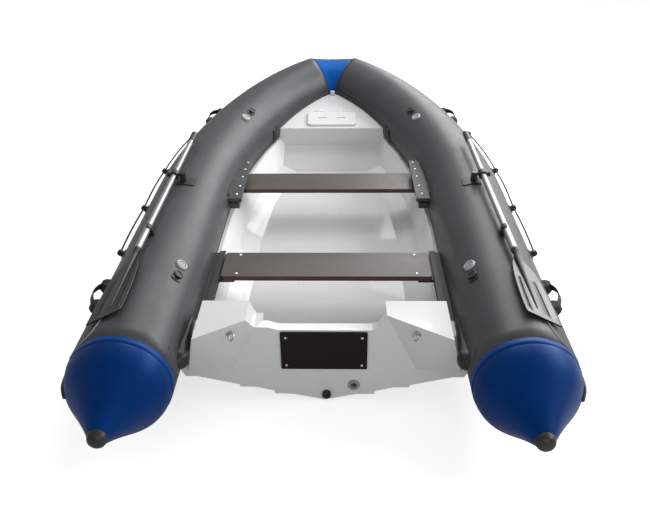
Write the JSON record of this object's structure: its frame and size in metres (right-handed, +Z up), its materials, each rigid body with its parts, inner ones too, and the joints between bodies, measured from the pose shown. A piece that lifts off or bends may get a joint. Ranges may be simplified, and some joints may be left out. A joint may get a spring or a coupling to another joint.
{
  "type": "rigid-hulled inflatable boat",
  "caption": "Tender with inflated side tubes on a stepped V hull, thwarts, a bow locker with a lid, grab lines and oars that swing in rowlocks.",
  "frame": {"origin": "on the centreline in the plane of the water, under the front edge of the middle bay, near the middle of the length", "axes": "+X starboard, +Y towards the bow, +Z up"},
  "size_m": [1.862, 3.5791, 0.608],
  "materials": {
    "tube_fabric": "coated satin",
    "blue_fabric": "coated satin",
    "black_rubber": "matte",
    "grey_rubber": "textured",
    "white_gelcoat": "glossy",
    "plywood": "film faced",
    "motor_pad_board": "satin",
    "bracket_metal": "satin",
    "steel": "polished",
    "oar_aluminium": "anodised",
    "black_plastic": "satin",
    "grey_plastic": "satin",
    "valve_plastic": "satin",
    "black_cord": "braided"
  },
  "bodies": {
    "boat": {"tube_port": "tube_fabric", "tube_starboard": "tube_fabric", "cone_port": "blue_fabric", "cone_starboard": "blue_fabric", "cone_caps": "black_rubber", "bow_section": "blue_fabric", "hull": "white_gelcoat", "cockpit_liner": "white_gelcoat", "transom": "white_gelcoat", "seam_strips": "grey_rubber", "bow_locker": "white_gelcoat", "rubbing_strakes": "black_rubber", "valves": "valve_plastic", "tie_rings": "black_rubber", "carry_handles_starboard": "black_rubber", "carry_handles_port": "black_rubber", "line_eyelets": "black_rubber", "grab_line_starboard": "black_cord", "grab_line_port": "black_cord", "thwart_rear": "plywood", "thwart_front": "plywood", "seat_rails": "grey_rubber", "thwart_feet": "black_rubber", "thwart_brackets": "bracket_metal", "motor_pads": "motor_pad_board", "hull_flanges": "white_gelcoat", "transom_gaskets": "black_rubber", "corner_flaps": "black_rubber", "hatch_hinges": "steel", "drain_plug": "black_plastic", "drain_socket": "grey_plastic", "eye_bolts": "steel", "bow_eye": "steel", "rowlock_bases": "black_rubber", "oar_clips": "black_plastic"},
    "oar_starboard": {"rowlock_swivel_starboard": "black_plastic", "oar_shaft_starboard": "oar_aluminium", "oar_grip_starboard": "black_plastic", "oar_blade_starboard": "black_plastic"},
    "oar_port": {"rowlock_swivel_port": "black_plastic", "oar_shaft_port": "oar_aluminium", "oar_grip_port": "black_plastic", "oar_blade_port": "black_plastic"},
    "locker_lid": {"locker_hatch": "white_gelcoat"}
  },
  "joints": [
    {"name": "oar_starboard_swing", "type": "hinge", "parent": "boat", "child": "oar_starboard", "pos_m": [0.70498, -0.207, 0.43], "axis": [0, 0, 1], "range_deg": [0, 130]},
    {"name": "oar_port_swing", "type": "hinge", "parent": "boat", "child": "oar_port", "pos_m": [-0.70498, -0.207, 0.43], "axis": [0, 0, -1], "range_deg": [0, 130]},
    {"name": "locker_lid_hinge", "type": "hinge", "parent": "boat", "child": "locker_lid", "pos_m": [0, 1.14332, 0.2821], "axis": [-1, 0, 0], "range_deg": [0, 100]}
  ]
}
